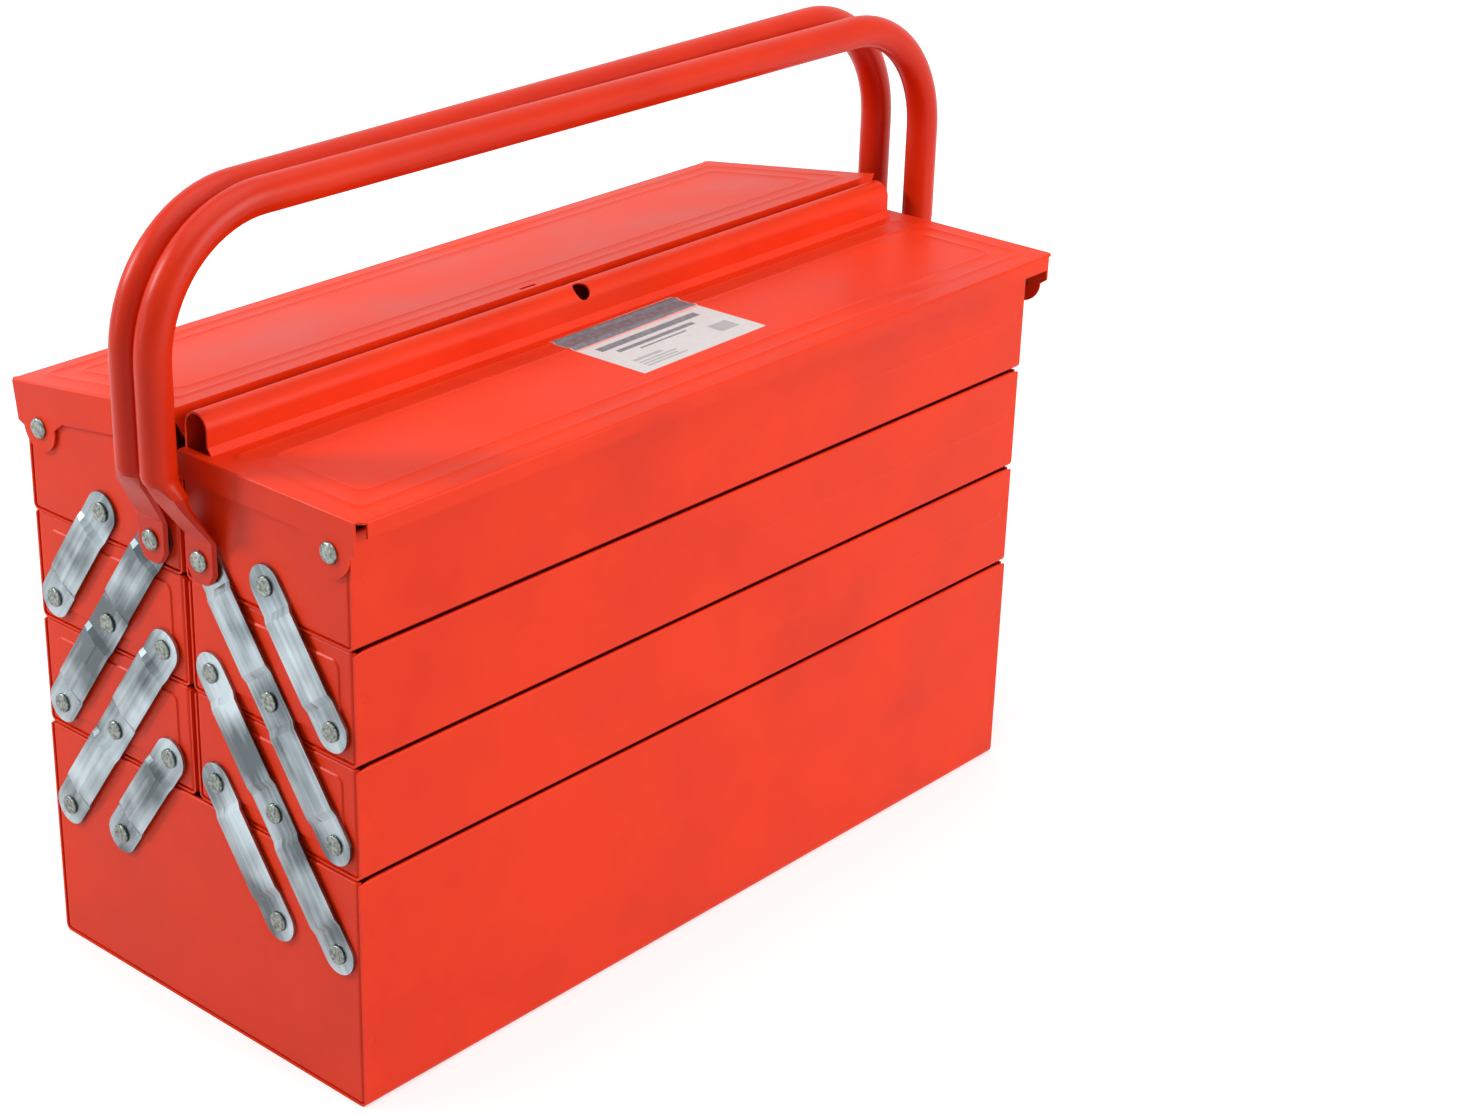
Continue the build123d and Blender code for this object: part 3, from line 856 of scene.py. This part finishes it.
def addStrips(piece, foot):  # the panel runs on beside the bead's two ends
    innerStrip = lambda p, n: n.z > mostly and p.y > foot - lid["frameMargin"] and central(p)
    for x in (lidX0 + lid["beadInset"][0], lidX1 - lid["beadInset"][1]):
        cut(piece, innerStrip, (x, 0, 0), (1, 0, 0))
    pick(piece, "EDGE", lambda p, d: abs(d.x) > mostly and same(p.y, foot) and not central(p))
    extrude((0, -lid["halfGap"] - foot, 0))


def addBead(piece, foot):  # hollow bead along the inner edge of the front lid
    front = -lid["halfGap"] - 2 * lid["beadRadius"]
    back = -lid["halfGap"]
    spring = lidTop + lid["beadHigh"] - lid["beadRadius"]
    pick(piece, "EDGE", lambda p, d: abs(d.x) > mostly and same(p.y, foot) and central(p))
    extrude((0, front - foot, lid["footRise"]))
    extrude((0, 0, spring - lidTop - lid["footRise"]))
    bpy.ops.mesh.spin(steps=16, angle=math.pi, center=(0, (front + back) / 2, spring), axis=(1, 0, 0))
    pick(piece, "EDGE", lambda p, d: abs(d.x) > mostly and same(p.y, back) and same(p.z, spring))
    extrude((0, 0, rimHigh + lid["restGap"] - spring))


def drillEars(piece):
    for x in (lidX0, lidX1):
        drill(piece, (x, -lidHinge[0], lidHinge[1]), (0, 1, 0), (-1, 0, 0))


beadMiddle = -lid["halfGap"] - lid["beadRadius"]
beadFoot = beadMiddle - lid["beadRadius"] - lid["footRun"]
frontLid = lidPanel("frontLid", beadFoot, lid["beadFrameGap"])
addStrips(frontLid, beadFoot)
lidSides(frontLid, -lid["halfGap"], -lid["halfGap"], lid["flange"], 0)
addBead(frontLid, beadFoot)
mergeDoubles(frontLid)
cutCorners(frontLid)
pointOut(frontLid, lambda f: f.normal.z > 0)
thicken(frontLid, lid["sheet"])
drillEars(frontLid)
hasp = addRod("hasp", lid["haspHole"], 0.5 * lid["beadRadius"], 2 * lid["beadRadius"])
haspTurn = math.radians(lid["haspTurn"])
standAt(hasp, (lid["haspX"], beadMiddle, lidTop + lid["beadHigh"] - lid["beadRadius"]),
        (1, 0, 0), (0, -math.sin(haspTurn), math.cos(haspTurn)))
carve(frontLid, hasp)
soften(frontLid, lid["edgeRound"], lid["edgeAngle"])
dress(frontLid, "front_lid", redPaint, "front_lid")
print("front lid made")

# The rear lid is made level at the front, tilted about its hinge, given its deep inner flange, and mirrored
tilt = math.radians(lid["tilt"])
hingeUp = lidTop + lid["lift"] - lidHinge[1]
reach = (lidHinge[0] - lid["halfGap"] + hingeUp * math.sin(tilt)) / math.cos(tilt)
edge = reach - lidHinge[0]
rearLid = lidPanel("rearLid", edge, lid["frameMargin"])
lidSides(rearLid, edge, edge - lid["relief"], lid["rearFlange"], lid["lift"])
mergeDoubles(rearLid)
cutCorners(rearLid)
pickAll(rearLid)
bpy.ops.transform.translate(value=(0, 0, lid["lift"]))
bpy.ops.transform.rotate(value=-tilt, orient_axis="X", center_override=(0, -lidHinge[0], lidHinge[1]))
bpy.ops.object.mode_set(mode="OBJECT")
innerEdge = max(v.co.y for v in rearLid.data.vertices)
pick(rearLid, "EDGE", lambda p, d: abs(d.x) > mostly and abs(p.y - innerEdge) < 5 * tiny)
edgeHigh = lidHinge[1] + reach * math.sin(tilt) + hingeUp * math.cos(tilt)
extrude((0, 0, rimHigh + lid["restGap"] - edgeHigh))
shorter = 1 - 2 * lid["relief"] / (lidX1 - lidX0)
bpy.ops.transform.resize(value=(shorter, 1, 1), center_override=(lidMiddle, 0, 0))
pointOut(rearLid, lambda f: f.normal.z > 0)
thicken(rearLid, lid["sheet"])
drillEars(rearLid)
haspSlot = addBlock("haspSlot", *zip(lid["slotX"], lid["slotY"], lid["slotZ"]))
standAt(haspSlot, (0, innerEdge, edgeHigh), (1, 0, 0), (0, -math.sin(tilt), math.cos(tilt)))
carve(rearLid, haspSlot)
soften(rearLid, lid["edgeRound"], lid["edgeAngle"])
pickAll(rearLid)
bpy.ops.transform.resize(value=(1, -1, 1), center_override=(0, 0, 0))
bpy.ops.mesh.flip_normals()
bpy.ops.object.mode_set(mode="OBJECT")
dress(rearLid, "rear_lid", redPaint, "rear_lid")
print("rear lid made, its inner edge at", round(edgeHigh / mm, 1), "mm")


# Handles: one bent tube each, its ends pressed flat and riveted on
handle = {
    "radius": 7.5 * mm,
    "sides": 32,
    "legs": (-231 * mm, 243 * mm),
    "legY": (-7.7 * mm, -14.2 * mm),  # the bar leans away from its twin at the far end
    "legLow": 259.5 * mm,
    "barHigh": 360 * mm,
    "bend": 57 * mm,
    "tabOut": 2.95 * mm,  # the middle of the flat tab, out from the box's end
    # stations down each end: height, how far in from the leg, share of the way to the pivot's y,
    # thickness and width
    "presses": (
        (256.4 * mm, 0.6 * mm, 0.06, 14 * mm, 15.8 * mm),
        (251.6 * mm, 2.0 * mm, 0.33, 7.2 * mm, 19 * mm),
        (247.0 * mm, 3.5 * mm, 0.36, 5 * mm, 19.4 * mm),
    ),
    # stations down the tab: height and width
    "tab": ((230.6 * mm, 19.2 * mm), (217.0 * mm, 19.2 * mm), (212.6 * mm, 13 * mm), (211.1 * mm, 8 * mm)),
    "tabThick": 2.5 * mm,
    "flatFrom": 19 * mm,  # stations at least this wide have flat broad sides
    "flatShare": 0.42,  # how far out from the middle these are flat, in widths
    "ringRoom": 16 * mm,  # each end's open ring lies within this of its middle
    "edgeRound": 0.35 * mm,
    "edgeAngle": 25,
}


def pressEnd(piece, end, legX, legY):  # draws the open ring down the stations, flatter and wider at each
    at = Vector((legX, legY, handle["legLow"]))
    near = lambda p: abs(p.x - at.x) < handle["ringRoom"] and same(p.z, at.z)
    stations = [(legX - end * inward, legY + share * (-columns[0] - legY), z, nextThick, nextWide)
                for z, inward, share, nextThick, nextWide in handle["presses"]]
    tabX = end * (boxEnd + handle["tabOut"])
    stations += [(tabX, -columns[0], z, handle["tabThick"], nextWide) for z, nextWide in handle["tab"]]
    thick = wide = 2 * handle["radius"]
    for *place, nextThick, nextWide in stations:
        pick(piece, "rim", lambda p, d: near(p))
        extrude(Vector(place) - at)
        at = Vector(place)
        bpy.ops.transform.resize(value=(nextThick / thick, nextWide / wide, 1), center_override=at)
        thick, wide = nextThick, nextWide
        if wide < handle["flatFrom"]:
            continue
        reach = handle["flatShare"] * wide
        for side in (-1, 1):  # press the broad sides flat
            pick(piece, "VERT", lambda p: near(p) and abs(p.y - at.y) < reach and (p.x - at.x) * side > 0)
            face = (at.x + side * thick / 2, at.y, at.z)
            bpy.ops.transform.resize(value=(0, 1, 1), center_override=face)
    pick(piece, "rim", lambda p, d: near(p))
    bpy.ops.mesh.edge_face_add()


def makeHandle(name):
    x0, x1 = handle["legs"]
    y0, y1 = handle["legY"]
    span = math.hypot(x1 - x0, y1 - y0)
    bend = handle["bend"]
    barHigh = handle["barHigh"]
    rise = barHigh - handle["legLow"] - bend
    deselectAll()
    bpy.ops.mesh.primitive_circle_add(vertices=handle["sides"], radius=handle["radius"])
    piece = settle(name)
    pickAll(piece)
    extrude((0, 0, rise))
    bpy.ops.mesh.spin(steps=18, angle=-math.pi / 2, center=(bend, 0, rise), axis=(0, 1, 0))
    extrude((span - 2 * bend, 0, 0))
    bpy.ops.mesh.spin(steps=18, angle=-math.pi / 2, center=(span - bend, 0, rise), axis=(0, 1, 0))
    extrude((0, 0, -rise))
    standAt(piece, (x0, y0, handle["legLow"]), (x1 - x0, y1 - y0, 0), (0, 0, 1))
    pressEnd(piece, -1, x0, y0)
    pressEnd(piece, 1, x1, y1)
    mergeDoubles(piece)
    barY = (y0 + y1) / 2
    pointOut(piece, lambda f: f.normal.z * (f.center.z - barHigh) + f.normal.y * (f.center.y - barY) > 0)
    for end in ends.values():
        drill(piece, (end * boxEnd, -columns[0], rows[3]), (0, 1, 0), (end, 0, 0))
    soften(piece, handle["edgeRound"], handle["edgeAngle"])
    return piece


frontHandle = makeHandle("frontHandle")
rearHandle = mirrored(frontHandle, "rearHandle", (1, -1, 1))
dress(frontHandle, "front_handle", shadedTubePaint, "front_handle")
dress(rearHandle, "rear_handle", shadedTubePaint, "rear_handle")
print("handles bent")


# A paper label on the front lid, its print generic: a dark band, a thin line and plain bars
label = {
    "middle": (14 * mm, -48 * mm),
    "turn": 1.3,  # degrees
    "size": (81 * mm, 55 * mm),
    "paper": 0.12 * mm,  # thickness
    "ink": 0.03 * mm,
    "band": 15.5 * mm,
    "line": 1.3 * mm,
    "margin": 0.4 * mm,
    # plain bars: left, right, back and front edges in mm, from the label's back left corner
    "bars": ((7, 72, 20.5, 25), (12, 62, 28, 30.8), (22, 52, 33, 34.2)),
    "faintBars": (
        (8, 26, 41, 43),
        (8, 32, 44.6, 45.8),
        (8, 30, 47, 48.2),
        (8, 34, 49.4, 50.6),
        (62, 74, 37, 46),
    ),
}


def addPrint(name, x0, x1, back, front, high, finish):  # a thin sheet, its top at a height over the lid
    halfX, halfY = (s / 2 for s in label["size"])
    sheet = addBlock(name, (x0 - halfX, halfY - front, 0), (x1 - halfX, halfY - back, high))
    sheet.data.materials.append(finish)
    return sheet


paper = makePrint("coatedLabelPaper", "#C4C2C0")
slateInk = makePrint("slateLabelInk", "#5C646C")
greyInk = makePrint("greyLabelInk", "#9A9B9D")
pinkInk = makePrint("pinkLabelInk", "#F08C86")
wide, deep = label["size"]
margin = label["margin"]
inkHigh = label["paper"] + label["ink"]
lineFront = label["band"] + label["line"]
printed = [
    addPrint("labelPaper", 0, wide, 0, deep, label["paper"], paper),
    addPrint("labelBand", margin, wide - margin, margin, label["band"], inkHigh, slateInk),
    addPrint("labelLine", margin, wide - margin, label["band"], lineFront, inkHigh, pinkInk),
]
for bars, finish in ((label["bars"], slateInk), (label["faintBars"], greyInk)):
    for bar in bars:
        printed.append(addPrint("labelBar", *(edge * mm for edge in bar), inkHigh, finish))
labelSheet = together("frontLidLabel", printed)
turn = math.radians(label["turn"])
standAt(labelSheet, (*label["middle"], lidTop), (math.cos(turn), math.sin(turn), 0), (0, 0, 1))
frameHalf, crestHalf = lid["frameWidth"] / 2, lid["frameCrest"] / 2
frameLines = [beadFoot - lid["beadFrameGap"] - frameHalf - i * lid["framePitch"] for i in (0, 1)]
for line in frameLines:  # the paper goes up over the two pressed frames under it
    for offset in (-frameHalf, -crestHalf, crestHalf, frameHalf):
        cut(labelSheet, everyFace, (0, line + offset, 0), (0, 1, 0))
bpy.ops.object.mode_set(mode="OBJECT")
for point in labelSheet.data.vertices:
    climbs = [(frameHalf - abs(point.co.y - line)) / frameFlank for line in frameLines]
    point.co.z += lid["frameHigh"] * min(1, max(0, *climbs))
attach(labelSheet, "front_lid")
print("label laid")


# Camera, light and floor
view = {
    "place": (-863.8 * mm, -828.7 * mm, 690.0 * mm),
    "turn": (65.593, 0.020, -45.638),
    "lens": 69.58,
    "shift": (0.1419, -0.0007),
}
deselectAll()
bpy.ops.object.camera_add(location=view["place"], rotation=[math.radians(a) for a in view["turn"]])
camera = bpy.context.object
camera.data.lens = view["lens"]
camera.data.shift_x, camera.data.shift_y = view["shift"]
bpy.context.scene.camera = camera

studio = {
    "white": (1, 1, 1, 1),
    "floorSize": 12,
    "floorHigh": -0.2 * mm,
    "floorPaint": "#C4C4C4",
    "floorRoughness": 0.9,
    "glow": (0.55, 0.9),  # what the floor adds where it is seen, near the box and far from it
    "glowAt": (0.35, 1.1),  # metres from the middle, where that starts to rise and where it stops
    "skyLight": 0.24,  # on the box and the floor
    "skySeen": 1.0,  # behind them, and in reflections
}


def raysOf(tree, *kinds):  # 1 for these kinds of ray, and 0 for the rest
    rays = addNode(tree, "LightPath").outputs
    share = rays[f"Is {kinds[0]} Ray"]
    for kind in kinds[1:]:
        share = addNode(tree, "Math", {0: share, 1: rays[f"Is {kind} Ray"]}, operation="MAXIMUM").outputs[0]
    return share


deselectAll()
bpy.ops.mesh.primitive_plane_add(size=studio["floorSize"], location=(0, 0, studio["floorHigh"]))
floor = settle("floor")
floorPaint, tree, shader, place = newFinish("paleFloor")
away = addNode(tree, "VectorMath", {0: place}, operation="LENGTH").outputs["Value"]
glow = addNode(tree, "MapRange", {
    "Value": away,
    "From Min": studio["glowAt"][0],
    "From Max": studio["glowAt"][1],
    "To Min": studio["glow"][0],
    "To Max": studio["glow"][1],
})
seen = raysOf(tree, "Camera", "Glossy")
glow = addNode(tree, "Math", {0: seen, 1: glow.outputs["Result"]}, operation="MULTIPLY")
plug(tree, shader, {
    "Base Color": linear(studio["floorPaint"]),
    "Roughness": studio["floorRoughness"],
    "Emission Color": studio["white"],
    "Emission Strength": glow.outputs[0],
})
floor.data.materials.append(floorPaint)

world = bpy.data.worlds.new("studio")
bpy.context.scene.world = world
world.use_nodes = True
sky = world.node_tree
sky.nodes.clear()
seen = raysOf(sky, "Camera", "Glossy", "Transmission")
light = addNode(sky, "Background", {"Color": studio["white"], "Strength": studio["skyLight"]})
backdrop = addNode(sky, "Background", {"Color": studio["white"], "Strength": studio["skySeen"]})
mix = addNode(sky, "MixShader", {0: seen, 1: light.outputs[0], 2: backdrop.outputs[0]})
addNode(sky, "OutputWorld", {"Surface": mix.outputs[0]})

lamps = {
    "overhead": {"place": (-0.1, -0.2, 1.9), "aim": (0, 0, 0.2), "size": 1.8, "power": 22},
    "leftKey": {"place": (-1.15, 1.25, 1.15), "aim": (-0.2, 0, 0.2), "size": 0.25, "power": 21},
    "lowLeft": {"place": (-2.0, 1.2, 0.45), "aim": (-0.2, 0, 0.15), "size": 0.4, "power": 4},
    "frontSoftbox": {"place": (0.7, -2.4, 1.0), "aim": (0, 0, 0.15), "size": 1.6, "power": 50},
}
for name, s in lamps.items():
    deselectAll()
    bpy.ops.object.light_add(type="AREA", location=s["place"])
    lamp = bpy.context.object
    lamp.name = name
    lamp.data.size = s["size"]
    lamp.data.energy = s["power"]
    lamp.rotation_euler = (Vector(s["aim"]) - Vector(s["place"])).to_track_quat("-Z", "Y").to_euler()

bpy.context.scene.view_settings.view_transform = "Standard"
print("stage set")
